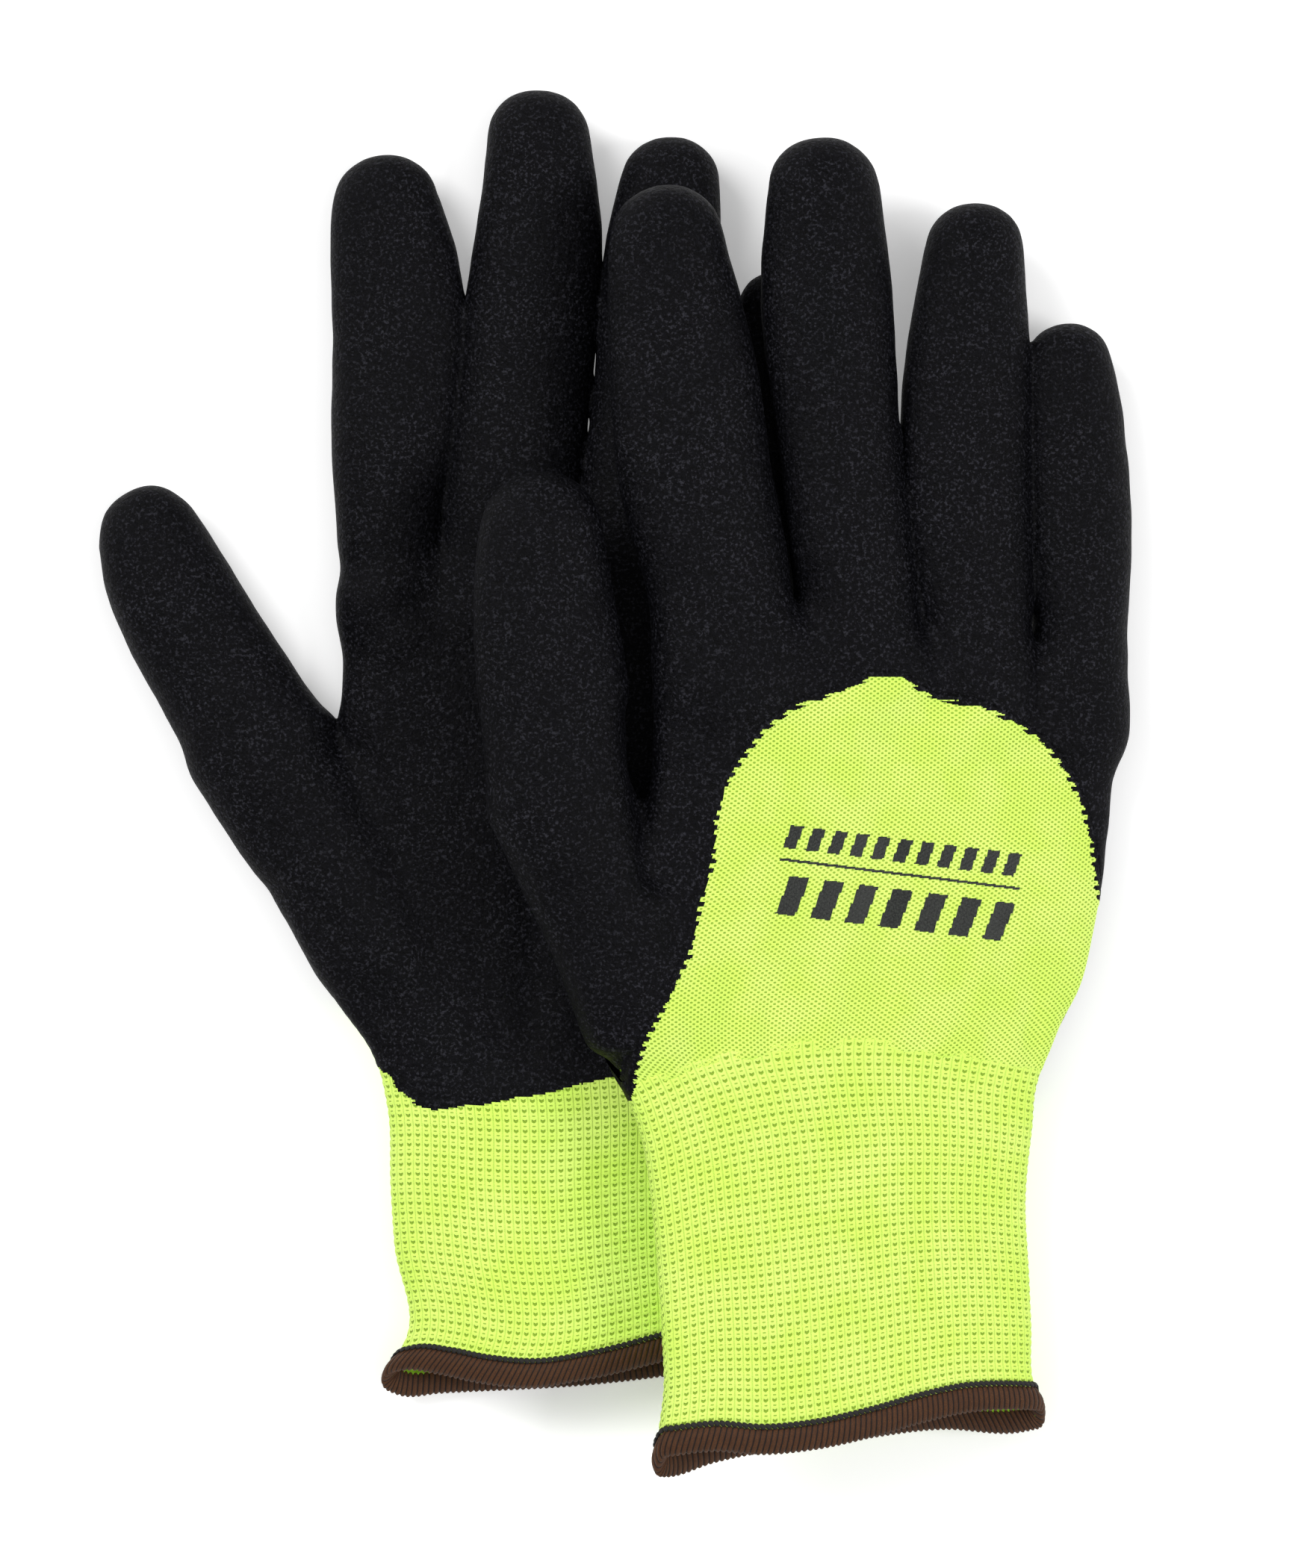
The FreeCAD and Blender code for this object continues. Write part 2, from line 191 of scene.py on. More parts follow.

# Valleys pressed into the skin: points along it, depth, width.
VALLEYS = {
    "left": (
        (((-46, 47), (-36, 26), (-26, 6), (-20, -12)), 1.7, 5.0),
        (((-50, 62), (-40, 72), (-20, 80), (0, 82)), 1.0, 4.0),
        (((-47, 82), (-32, 85), (-16, 84)), 0.7, 3.6),
        (((-25, 92), (-27, 86), (-33, 79)), 0.5, 3.8),
        (((-60, 22), (-48, 14), (-40, -2)), 0.6, 3.0),
        (((-12, 30), (-10, 10), (-12, -14)), 0.7, 3.5),
        (((8, 40), (6, 16), (2, -8)), 0.6, 3.5),
    ),
    "right": (
        (((-45, 62), (-43.8, 48), (-43.0, 38), (-42.6, 33)), 2.8, 3.2),
        (((-38, 22), (-37, 34), (-35, 52)), 1.0, 3.5),
        (((-12, 88), (-9, 76), (-6, 70)), 1.0, 3.0),
        (((12, 80), (14, 72), (15, 66)), 1.2, 3.0),
        (((34, 80), (34, 72), (33, 66)), 0.9, 3.0),
        (((5, 62), (3, 40), (1, 10)), 0.6, 5.0),
        (((26, 22), (30, 10), (33, -2)), 0.5, 3.0),
        (((36, 20), (39, 8), (40, -2)), 0.5, 3.0),
        (((-16, 14), (-20, 4), (-22, -6)), 0.4, 3.0),
    ),
}

# The bare window on the back, in a glove's plane, from the wrist on the thumb side to the wrist on the other.
WINDOW = (
    (-60, -30), (-45.0, -13), (-44.6, -4), (-43.4, 2), (-38.6, 11), (-34.9, 18), (-32.7, 27),
    (-30.3, 35), (-29.6, 43), (-28.0, 49), (-25.0, 54), (-20.5, 60), (-15.0, 64), (-6.3, 67),
    (-0.4, 69.7), (5.5, 69.7), (9.9, 66.8),
    (12.8, 65.6), (20.2, 64.5), (27.4, 61.4), (33.3, 57.8), (37.7, 52.8), (41.4, 46.4), (43.6, 38.5),
    (45.0, 30),
    (47.0, 24), (70, 18), (70, -30),
)
# Where the jersey gives way to the rib on the back of the wrist.
RIB_TOP = ((-50, -9), (-45, -7), (-30, -2), (-13, 0.4), (4, 0.4), (20, -1.5), (33, -3.8), (45, -6))
# The edge of the coating across the palm side of the cuff, in a glove's plane.
TONGUE_SIDE = -22.0  # the coating's lowest place at the sides of the wrist
TONGUE_EDGE = (
    (-60, -10), (-41, -12), (-38, -14.5), (-36, -17.3), (-32, -19.9), (-25.7, -20.4), (-19, -19.3),
    (-5.6, -16.8),
    (5, -14.2), (20, -15), (32, -12), (60, -8),
)

# Knit: a course is one row of stitches.
WALES = 139  # jersey stitches around the hand
COURSE = 0.90
RIBS = 93  # rib stitches around the cuff
RIB_COURSE = 1.85
CUFF_HEIGHT = 73.0
FRINGE = 3.4  # knit modelled beyond the window, under its coating
PRESSED_DEPTH = 4.5  # how far the lower cuff sinks under the glove on top of it

# Hem.
WRAPS = 150  # turns of thread round the binding
HEM_HEIGHT = 5.0
HEM_RADIUS = 1.25  # half the binding's thickness

# Print: a rule between two rows of bars.
MARK_CENTRE = (5.5, 33.0)
MARK_TURN = -7.0
MARK_LENGTH = 47.5
RULE_HEIGHT = 0.5
TALL_BARS = (7, 7.4, -6.6)  # number, height and level above the rule
SHORT_BARS = (11, 4.4, 4.4)
BAR_SHARE = 0.56  # share of the pitch that a bar covers
BAR_LEAN = 2.0

# Colours, each pair from dark to light or bright to deep.
FOAM_DARK, FOAM_LIGHT = (0.0005, 0.0005, 0.0008, 1), (0.0040, 0.0040, 0.0056, 1)
FOAM_SPECK = (0.034, 0.034, 0.043, 1)
LIME_BRIGHT, LIME_DEEP = (0.70, 0.94, 0.17, 1), (0.64, 0.91, 0.12, 1)
# Painted shade for the pits and hollows of the knit.
LIME_PAINTED_SHADE = (0.19, 0.34, 0.002, 1)
BROWN_LIGHT, BROWN_DARK = (0.12, 0.042, 0.009, 1), (0.040, 0.013, 0.003, 1)
# Painted shade for the gaps between the wraps of the hem thread.
BROWN_PAINTED_SHADE = (0.004, 0.0015, 0.001, 1)
INNER_LIGHT, INNER_DARK = (0.36, 0.66, 0.03, 1), (0.22, 0.44, 0.01, 1)
LOOPER_DARK, LOOPER_LIGHT = (0.010, 0.010, 0.011, 1), (0.035, 0.032, 0.030, 1)
INK_DARK, INK_LIGHT = (0.010, 0.011, 0.010, 1), (0.032, 0.036, 0.030, 1)
LIME_SHEEN, BROWN_SHEEN = (0.9, 1, 0.7, 1), (1, 0.8, 0.6, 1)
FLOOR_COLOUR = (0.93, 0.93, 0.93, 1)

# Stage, in metres. The dome is brightest overhead: (low, high, strength at low, strength at high).
FLOOR_HALF = 3.0
FLOOR_DROP = 0.0004
KEY_PLACE, KEY_SIZE, KEY_POWER = (-1.8, 1.5, 2.3), 1.5, 54.0
FILL_PLACE, FILL_SIZE, FILL_POWER = (1.6, -0.2, 1.5), 0.8, 20.0
DOME = (0.05, 0.95, 0.05, 0.78)
BACKDROP = 0.86  # how bright the dome looks to the camera at least
LENS = 135.0
SENSOR = 36.0
FRAME_HEIGHT = 0.300
FRAME_CENTRE = (0.0066, 0.0004)
GLOVE_LEVEL = 0.010  # height at which the frame height is meant

# ---------------------------------------------------------------- numbers


def curve(x, points, column=1):
    """A smooth curve through points, read at x."""
    table = np.array(points, float)
    xs, ys = table[:, 0], table[:, column]
    slopes = np.gradient(ys, xs)
    i = np.clip(np.searchsorted(xs, x) - 1, 0, len(xs) - 2)
    gap = xs[i + 1] - xs[i]
    t = np.clip((x - xs[i]) / gap, 0, 1)
    rise = (2 * t**3 - 3 * t**2 + 1) * ys[i] + (3 * t**2 - 2 * t**3) * ys[i + 1]
    lean = (t**3 - 2 * t**2 + t) * slopes[i] + (t**3 - t**2) * slopes[i + 1]
    return rise + lean * gap


def smoothstep(low, high, x):
    t = np.clip((x - low) / (high - low), 0, 1)
    return t * t * (3 - 2 * t)


def waves(p, scale, seed):
    """Smooth noise between about -1 and 1 whose bumps are about one scale apart."""
    rng = np.random.default_rng(seed)
    total = np.zeros(len(p))
    for _ in range(9):
        way = rng.normal(size=3)
        way *= rng.uniform(0.6, 1.5) * 2 * math.pi / (scale * 2 * np.linalg.norm(way))
        total += np.sin(p @ way + rng.uniform(0, 2 * math.pi))
    return total / 3.6


def soft_min(a, b, width):
    lap = np.clip(width - np.abs(a - b), 0, None) / width
    return np.minimum(a, b) - lap * lap * width / 4


def pillow(offsets, radii, power):
    """Distance to a rounded box-like form, from offsets along its axes and its radii."""
    shares = [np.abs(o) / r for o, r in zip(offsets, radii)]
    level = np.maximum(sum(t**power for t in shares), 1e-9) ** (1 / power)
    steep = sum((t ** (power - 1) / r) ** 2 for t, r in zip(shares, radii))
    slope = np.sqrt(steep) * np.maximum(level, 0.05) ** (1 - power)
    return (level - 1) / np.maximum(slope, 0.02)


def along(finger, p):
    """Distance along a finger, its share of the length, and the sideways offset of points."""
    root, tip = np.array(finger.root), np.array(finger.tip)
    length = np.linalg.norm(tip - root)
    way = (tip - root) / length
    rel = p[:, :2] - root
    s = rel @ way
    side = rel[:, 0] * way[1] - rel[:, 1] * way[0]
    return s, s / length, side, length


def finger_distance(finger, p, overlap=FINGER_OVERLAP, narrowing=FINGER_NARROWING):
    """Distance of points from a finger's skin."""
    s, share, side, length = along(finger, p)
    share = np.clip(share, 0, 1)
    half = curve(share, finger.stations, 2)
    middle = curve(share, finger.stations, 1)
    half = half * (1 - narrowing * smoothstep(0, 1.5 * overlap, -s))
    rise = finger.height - 0.9 * share
    cap = finger.stations[-1][2]
    past_tip = np.clip(s - (length - cap), 0, None)
    past_root = np.clip(-overlap - s, 0, None)
    offsets = (side - middle, p[:, 2] - MIDDLE_LEVEL, past_tip + past_root)
    return pillow(offsets, (half, rise, cap), SECTION_POWER)


def trunk_distance(glove, p):
    """Distance of points from the skin of the palm and cuff."""
    x, y, z = p.T
    half, rise = curve(y, glove.trunk, 2), curve(y, glove.trunk, 3)
    (x0, y0), (x1, y1) = glove.knuckles
    knuckle = y0 + (y1 - y0) * (x - x0) / (x1 - x0)
    past = np.clip(y - (knuckle - 12), 0, None)
    return pillow((x - curve(y, glove.trunk), z - MIDDLE_LEVEL, past), (half, rise, 14.0), TRUNK_POWER)


def valley_depth(glove, p):
    """How far the valleys press the top skin in."""
    depth = np.zeros(len(p))
    top = smoothstep(3, 9, p[:, 2])
    for points, deep, width in VALLEYS[glove.side]:
        nearest = np.full(len(p), 1e9)
        for a, b in zip(points, points[1:]):
            a, b = np.array(a, float), np.array(b, float)
            t = np.clip((p[:, :2] - a) @ (b - a) / ((b - a) @ (b - a)), 0, 1)
            nearest = np.minimum(nearest, np.linalg.norm(p[:, :2] - a - t[:, None] * (b - a), axis=1))
        depth += deep * np.exp(-((nearest / width) ** 2))
    return depth * top


def skin_distance(glove, p):
    """Distance of points from the whole glove's knit skin."""
    thumb, *others = glove.fingers.values()
    others = [finger_distance(f, p) for f in others]
    hand = trunk_distance(glove, p)
    base = finger_distance(glove.thumb_base, p, THUMB_OVERLAP, THUMB_NARROWING)
    base = soft_min(base, finger_distance(thumb, p, THUMB_OVERLAP, THUMB_NARROWING), 2.0)
    hand = soft_min(hand, base, 6.0)
    together = others[0]
    for other in others[1:]:
        together = soft_min(together, other, 0.8)
    hand = soft_min(hand, together, 4.5)
    hand = hand + valley_depth(glove, p) - 0.35 * waves(p, 22.0, 3)
    if glove.palm_up:
        hand = -soft_min(-hand, p[:, 2], 1.5)
    return hand


def settle(distance, p, normals=None, steps=3):
    """Moves points onto a skin, along given normals or down its own slope."""
    eps = 0.25
    for _ in range(steps):
        d = distance(p)
        if normals is None:
            rises = [distance(p + eps * e) - distance(p - eps * e) for e in np.eye(3)]
            slope = np.stack(rises, 1) / (2 * eps)
            p = p - slope * (d / np.maximum((slope**2).sum(1), 0.2))[:, None]
        else:
            p = p - normals * np.clip(d, -4, 4)[:, None]
    return p


# ---------------------------------------------------------------- meshes


def glove_matrix(glove):
    """The glove's plane in the row frame, in millimetres."""
    edge = Matrix.Translation((glove.roll_edge, 0, 0))
    shift = Matrix.Translation((*glove.wrist, glove.lift))
    return shift @ edge @ Matrix.Rotation(math.radians(glove.roll), 4, "Y") @ edge.inverted()


def place(glove, p):
    m = np.array(glove_matrix(glove))
    return (p @ m[:3, :3].T + m[:3, 3]) / 1000


def make_piece(name, glove, p, faces, material, uv=None, material_of_face=None):
    """A smooth-shaded mesh object from points in a glove's plane, with stitch coordinates if it has any."""
    mesh = bpy.data.meshes.new(name)
    mesh.from_pydata(place(glove, p).tolist(), [], np.asarray(faces).tolist())
    mesh.polygons.foreach_set("use_smooth", np.ones(len(mesh.polygons), bool))
    if uv is not None:
        layer = mesh.uv_layers.new(name="stitch")
        corner = np.zeros(len(mesh.loops), np.int32)
        mesh.loops.foreach_get("vertex_index", corner)
        layer.data.foreach_set("uv", uv[corner].astype(np.float32).ravel())
    for m in material if isinstance(material, (list, tuple)) else [material]:
        mesh.materials.append(m)
    if material_of_face is not None:
        mesh.polygons.foreach_set("material_index", material_of_face.astype(np.int32))
    mesh.update()
    piece = bpy.data.objects.new(name, mesh)
    bpy.context.scene.collection.objects.link(piece)
    return piece


def kept(p, faces, keep, *per_point):
    """The faces that are kept, with only the points they use."""
    faces = faces[keep]
    used, new = np.unique(faces, return_inverse=True)
    return (p[used], new.reshape(faces.shape), *[q[used] for q in per_point])


def subdivided(p, faces):
    """One level of Catmull-Clark subdivision."""
    mesh = bpy.data.meshes.new("coarse")
    mesh.from_pydata(p.tolist(), [], faces.tolist())
    coarse = bpy.data.objects.new("coarse", mesh)
    bpy.context.scene.collection.objects.link(coarse)
    coarse.modifiers.new("subdivide", "SUBSURF").levels = 1
    fine = coarse.evaluated_get(bpy.context.evaluated_depsgraph_get()).to_mesh()
    points = np.zeros(len(fine.vertices) * 3, np.float32)
    fine.vertices.foreach_get("co", points)
    quads = np.zeros(len(fine.loops), np.int32)
    fine.loops.foreach_get("vertex_index", quads)
    bpy.data.objects.remove(coarse)
    return points.reshape(-1, 3).astype(float), quads.reshape(-1, 4)


def point_normals(p, faces):
    a, b, c, d = (p[faces[:, i]] for i in range(4))
    normal = np.cross(c - a, d - b)
    total = np.zeros_like(p)
    for i in range(4):
        np.add.at(total, faces[:, i], normal)
    return total / np.maximum(np.linalg.norm(total, axis=1), 1e-9)[:, None]


def grid_faces(rows, columns, closed):
    """Quads over a grid of points, joined round its columns if it is closed."""
    r, c = np.meshgrid(np.arange(rows - 1), np.arange(columns if closed else columns - 1), indexing="ij")
    nxt = (c + 1) % columns
    quads = np.stack([r * columns + c, r * columns + nxt, (r + 1) * columns + nxt, (r + 1) * columns + c], -1)
    return quads.reshape(-1, 4)


def tube_faces(around, columns):
    """Quads over a closed sweep of rings of points, with the last ring joined to the first."""
    here = np.arange(columns)
    ahead = (here + 1) % columns
    last = (around - 1) * columns
    seam = np.stack([here + last, ahead + last, ahead, here], 1)
    return np.concatenate([grid_faces(around, columns, True), seam])


def glove_skin(glove):
    """The whole glove's skin as one fine quad mesh."""
    axes = [np.arange(a, b, GRID_STEP) for a, b in zip(VOLUME_LOW, VOLUME_HIGH)]
    cells = np.stack(np.meshgrid(*axes, indexing="ij"), -1).reshape(-1, 3)
    values = skin_distance(glove, cells).reshape([len(a) for a in axes]).astype(np.float32)
    grid = openvdb.FloatGrid()
    grid.copyFromArray(values)
    points, quads = grid.convertToQuads(0.0)[:2]
    p = np.array(VOLUME_LOW) + np.asarray(points, float) * GRID_STEP
    faces = np.asarray(quads, np.int64)
    edges = np.concatenate([faces[:, [i, (i + 1) % 4]] for i in range(4)])
    count = np.bincount(edges.ravel(), minlength=len(p))[:, None]
    for _ in range(4):
        total = np.zeros_like(p)
        np.add.at(total, edges[:, 0], p[edges[:, 1]])
        np.add.at(total, edges[:, 1], p[edges[:, 0]])
        p = 0.5 * p + 0.5 * total / count
    p = settle(lambda q: skin_distance(glove, q), p)
    normals = point_normals(p, faces)
    centre = p.mean(0)
    if ((p - centre) * normals).sum() < 0:
        faces = faces[:, ::-1]
    return subdivided(p, faces)


def inside_outline(outline, x, y):
    """Whether points are inside a closed outline."""
    inside = np.zeros(len(x), bool)
    for (xa, ya), (xb, yb) in zip(outline, outline[1:] + outline[:1]):
        if ya == yb:
            continue
        crosses = (ya > y) != (yb > y)
        inside ^= crosses & (x < (xb - xa) * (y - ya) / (yb - ya) + xa)
    return inside


def outline_distance(outline, x, y):
    """Distance of points from an outline, negative inside it."""
    q = np.stack([x, y], 1)
    nearest = np.full(len(x), 1e9)
    for a, b in zip(outline, outline[1:] + outline[:1]):
        a, b = np.array(a, float), np.array(b, float)
        t = np.clip((q - a) @ (b - a) / ((b - a) @ (b - a)), 0, 1)
        nearest = np.minimum(nearest, np.linalg.norm(q - a - t[:, None] * (b - a), axis=1))
    return np.where(inside_outline(outline, x, y), -nearest, nearest)


def on_back(glove, z):
    """Whether points are on the back of the hand, above or below the widest level."""
    return z < MIDDLE_LEVEL if glove.palm_up else z > MIDDLE_LEVEL


def window_distance(glove, p):
    """Distance from the bare window's edge, negative inside it, on the back of the hand only."""
    d = outline_distance(WINDOW, p[:, 0], p[:, 1])
    return np.where(on_back(glove, p[:, 2]), d, np.maximum(d, PALM_SIDE_DISTANCE))


def finger_region(glove, p):
    """Which finger each point belongs to, or -1 for the hand, and its distance along that finger."""
    fingers = list(glove.fingers.values())
    distances = np.stack([finger_distance(f, p) for f in fingers], 1)
    nearest = distances.argmin(1)
    reach = np.stack([along(f, p)[0] for f in fingers], 1)[np.arange(len(p)), nearest]
    return np.where((reach > CUT_START) & (distances.min(1) < 3.0), nearest, -1), reach


def flex_places(glove, name):
    """Both flex lines of a finger as distances along it, from the CAD joints."""
    finger = glove.fingers[name]
    places = []
    for which in ("root", "middle"):
        joint = next(j for j in frame["joints"] if j["name"] == f"{glove.side}_{name}_{which}_flex")
        at = Matrix.Translation([c * 1000 for c in joint["pos_m"]])
        local = np.array(glove_matrix(glove).inverted() @ at)
        places.append(along(finger, local[:3, 3][None])[0][0])
    return places


def coated_hand(glove, materials):
    """The foam-dipped skin: the hand as one piece and two pieces for each finger."""
    p, faces = glove_skin(glove)
    normals = point_normals(p, faces)
    bare = smoothstep(1.7, 0.3, window_distance(glove, p))
    wrist = smoothstep(1.0, -3.2, p[:, 1])
    offset = 0.24 - 1.6 * np.maximum(bare, wrist) + 0.08 * waves(p, 5.0, 11)
    p = p + normals * offset[:, None]
    centres = p[faces].mean(1)
    owner, reach = finger_region(glove, centres)
    owner[centres[:, 1] < 30] = -1
    hand_body = f"{glove.side}_hand"
    q, f = kept(p, faces, (owner == -1) & (centres[:, 1] > HAND_END))
    hand = make_piece(f"{glove.side}_coated_hand", glove, q, f, materials["foam"])
    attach(hand, hand_body)
    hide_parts(f"{glove.side}_hand_coating")
    for i, (name, finger) in enumerate(glove.fingers.items()):
        first, second = flex_places(glove, name)
        seam = (first + BEND_END + second - MIDDLE_BEND) / 2
        lower, tip = f"{glove.side}_{name}_lower", f"{glove.side}_{name}_tip"
        spans = (
            (lower, (owner == i) & (reach < seam), hand_body, lower, first + BEND_START, first + BEND_END),
            (tip, (owner == i) & (reach >= seam), lower, tip, second - MIDDLE_BEND, second + MIDDLE_BEND),
        )
        for label, keep, a, b, start, end in spans:
            q, f = kept(p, faces, keep)
            piece = make_piece(f"{label}_skin", glove, q, f, materials["foam"])
            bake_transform(piece)
            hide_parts(f"{label}_coating", f"{label}_knit")


def trunk_ring(glove, y, columns):
    """Evenly spaced points and outward normals round the trunk's section at y."""
    turn = np.linspace(0, 2 * math.pi, 721)
    flat = 2 / TRUNK_POWER
    cos, sin = np.cos(turn), np.sin(turn)
    x = curve(y, glove.trunk) - curve(y, glove.trunk, 2) * np.sign(cos) * np.abs(cos) ** flat
    z = MIDDLE_LEVEL + curve(y, glove.trunk, 3) * np.sign(sin) * np.abs(sin) ** flat
    run = np.concatenate([[0], np.cumsum(np.hypot(np.diff(x), np.diff(z)))])
    at = run[-1] * np.arange(columns) / columns
    x, z = np.interp(at, run, x), np.interp(at, run, z)
    ahead, behind = np.roll(np.arange(columns), -1), np.roll(np.arange(columns), 1)
    nx, nz = -(z[ahead] - z[behind]), x[ahead] - x[behind]
    size = np.hypot(nx, nz)
    flat_points = np.stack([x, np.full(columns, float(y)), z], 1)
    return flat_points, np.stack([nx / size, np.zeros(columns), nz / size], 1)


def ragged(uv, faces, reach):
    """An uneven edge: a step that changes from stitch to stitch, up to reach each way."""
    stitch = np.floor(uv[faces].mean(1))
    return reach * np.sin(stitch[:, 0] * 12.9898 + stitch[:, 1] * 78.233)


def bare_knit(glove, materials):
    """The jersey of the back, stitch by stitch, with the coated stitches that fringe it."""
    per = 4
    columns = WALES * per
    ys = np.arange(-11.7, 76.5, COURSE / per)
    rings = [trunk_ring(glove, y, columns) for y in ys]
    p = np.concatenate([r[0] for r in rings])
    n = np.concatenate([r[1] for r in rings])
    column, row = np.meshgrid(np.arange(columns), np.arange(len(ys)))
    uv = np.stack([column.ravel() / per, row.ravel() / per], 1)
    faces = grid_faces(len(ys), columns, True)
    near = window_distance(glove, p) < FRINGE
    near &= on_back(glove, p[:, 2]) if not glove.palm_up else p[:, 2] < 7.5
    near &= p[:, 1] > rib_top(glove, p[:, 0], p[:, 2], -2.7)
    p, faces, n, uv = kept(p, faces, near[faces].all(1), n, uv)
    p = settle(lambda q: skin_distance(glove, q), p, n)
    if glove.palm_up:
        p[:, 2] = np.maximum(p[:, 2], 0.2)
    coated = window_distance(glove, p[faces].mean(1)) + ragged(uv, faces, 0.45) > 0.35
    lattice = np.cos(2 * math.pi * uv[:, 0]) * np.cos(2 * math.pi * uv[:, 1])
    coat = window_distance(glove, p) > 0.2
    gathers = 0.28 * waves(p * np.array([1.6, 0.25, 0]), 6.0, 5) * smoothstep(34, 2, p[:, 1])
    relief = 0.05 - 0.20 * smoothstep(0.2, 0.95, lattice) * np.where(coat, 0.5, 1.0) + gathers
    edge = np.where(coat, 0.16, 0.0) - 0.9 * smoothstep(1.2, FRINGE - 0.6, window_distance(glove, p))
    edge -= 0.8 * smoothstep(-0.2, -2.2, p[:, 1] - rib_top(glove, p[:, 0], p[:, 2], 0.0))
    p = p + n * (relief + edge)[:, None]
    both = [materials["jersey"], materials["coated_knit"]]
    knit = make_piece(f"{glove.side}_back_knit", glove, p, faces, both, uv, coated)
    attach(knit, f"{glove.side}_hand")
    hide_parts(f"{glove.side}_hand_knit")
    return p, faces, n


def mark_mask(x, y):
    """Whether points lie in the printed mark: a rule between a row of tall bars and a row of short ones."""
    turn = math.radians(MARK_TURN)
    dx, dy = x - MARK_CENTRE[0], y - MARK_CENTRE[1]
    u = dx * math.cos(turn) + dy * math.sin(turn)
    v = dy * math.cos(turn) - dx * math.sin(turn)
    inside = np.abs(u) < MARK_LENGTH / 2
    mask = inside & (np.abs(v) < RULE_HEIGHT / 2)
    for count, height, level in (TALL_BARS, SHORT_BARS):
        pitch = MARK_LENGTH / count
        lean = BAR_LEAN * (v - level) / TALL_BARS[1]
        phase = ((u - lean + MARK_LENGTH / 2) % pitch) / pitch
        mask |= inside & (np.abs(v - level) < height / 2) & (np.abs(phase - 0.5) < BAR_SHARE / 2)
    return mask


def printed_mark(glove, knit, materials):
    """The mark as a film over the stitches it is printed on."""
    p, faces, n = knit
    centres = p[faces].mean(1)
    q, f, m = kept(p, faces, mark_mask(centres[:, 0], centres[:, 1]), n)
    mark = make_piece(f"{glove.side}_back_mark", glove, q + 0.05 * m, f, materials["ink"])
    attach(mark, f"{glove.side}_hand")
    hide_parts(f"{glove.side}_back_print")


def hem_level(glove, x, z):
    """How far down the cuff ends, at a place round its mouth."""
    top = smoothstep(4.0, 9.5, z)
    return top * curve(x, glove.hem_line) + (1 - top) * curve(x, glove.hem_lip)


def rib_top(glove, x, z, spare):
    """How far up the rib runs, at a place round the wrist, with some to spare under the hand's skin."""
    back = smoothstep(0, 5, MIDDLE_LEVEL - z if glove.palm_up else z - 1.9)
    return spare + back * curve(x, RIB_TOP)


def cuff_surface(glove, columns, rows, inset, spare=3.0):
    """Points and normals of the cuff from its top to its cut end, with the sag of soft knit."""
    ring, _ = trunk_ring(glove, -70, columns)
    ends = hem_level(glove, ring[:, 0], ring[:, 2])
    wrist_ring, _ = trunk_ring(glove, 0, columns)
    tops = rib_top(glove, wrist_ring[:, 0], wrist_ring[:, 2], spare)
    shares = np.linspace(0, 1, rows)
    p, n = np.zeros((rows, columns, 3)), np.zeros((rows, columns, 3))
    lattice = np.linspace(spare, -90, 60)
    rings = [trunk_ring(glove, y, columns) for y in lattice]
    stack = np.stack([r[0] for r in rings])
    outward = np.stack([r[1] for r in rings])
    for i, share in enumerate(shares):
        y = tops + (ends - tops) * share
        at = (spare - y) / (spare + 90) * (len(lattice) - 1)
        low = np.clip(at.astype(int), 0, len(lattice) - 2)
        t = (at - low)[:, None]
        c = np.arange(columns)
        p[i] = stack[low, c] * (1 - t) + stack[low + 1, c] * t
        n[i] = outward[low, c] * (1 - t) + outward[low + 1, c] * t
    p, n = p.reshape(-1, 3), n.reshape(-1, 3)
    grip = smoothstep(-24, -6, p[:, 1])
    snug = np.zeros(len(p))
    near = grip > 0
    snug[near] = np.clip(skin_distance(glove, p[near]), -4, 4) * grip[near]
    above = p[:, 1] - rib_top(glove, p[:, 0], p[:, 2], 0.0)
    p = p - n * (snug + 0.8 * smoothstep(0.4, 2.6, above))[:, None]
    if glove.palm_up:
        pressed = smoothstep(4, 32, p[:, 0]) * smoothstep(2, -18, p[:, 1]) * smoothstep(5, 11, p[:, 2])
        p[:, 2] -= PRESSED_DEPTH * pressed
    slack = smoothstep(-5, -45, p[:, 1])
    p = p + n * (0.55 * slack * waves(p * np.array([1, 0.45, 1]), 16.0, 21 + glove.palm_up) - inset)[:, None]
    if glove.palm_up:
        p[:, 2] = np.maximum(p[:, 2], 0.15 + inset)
    return p, n


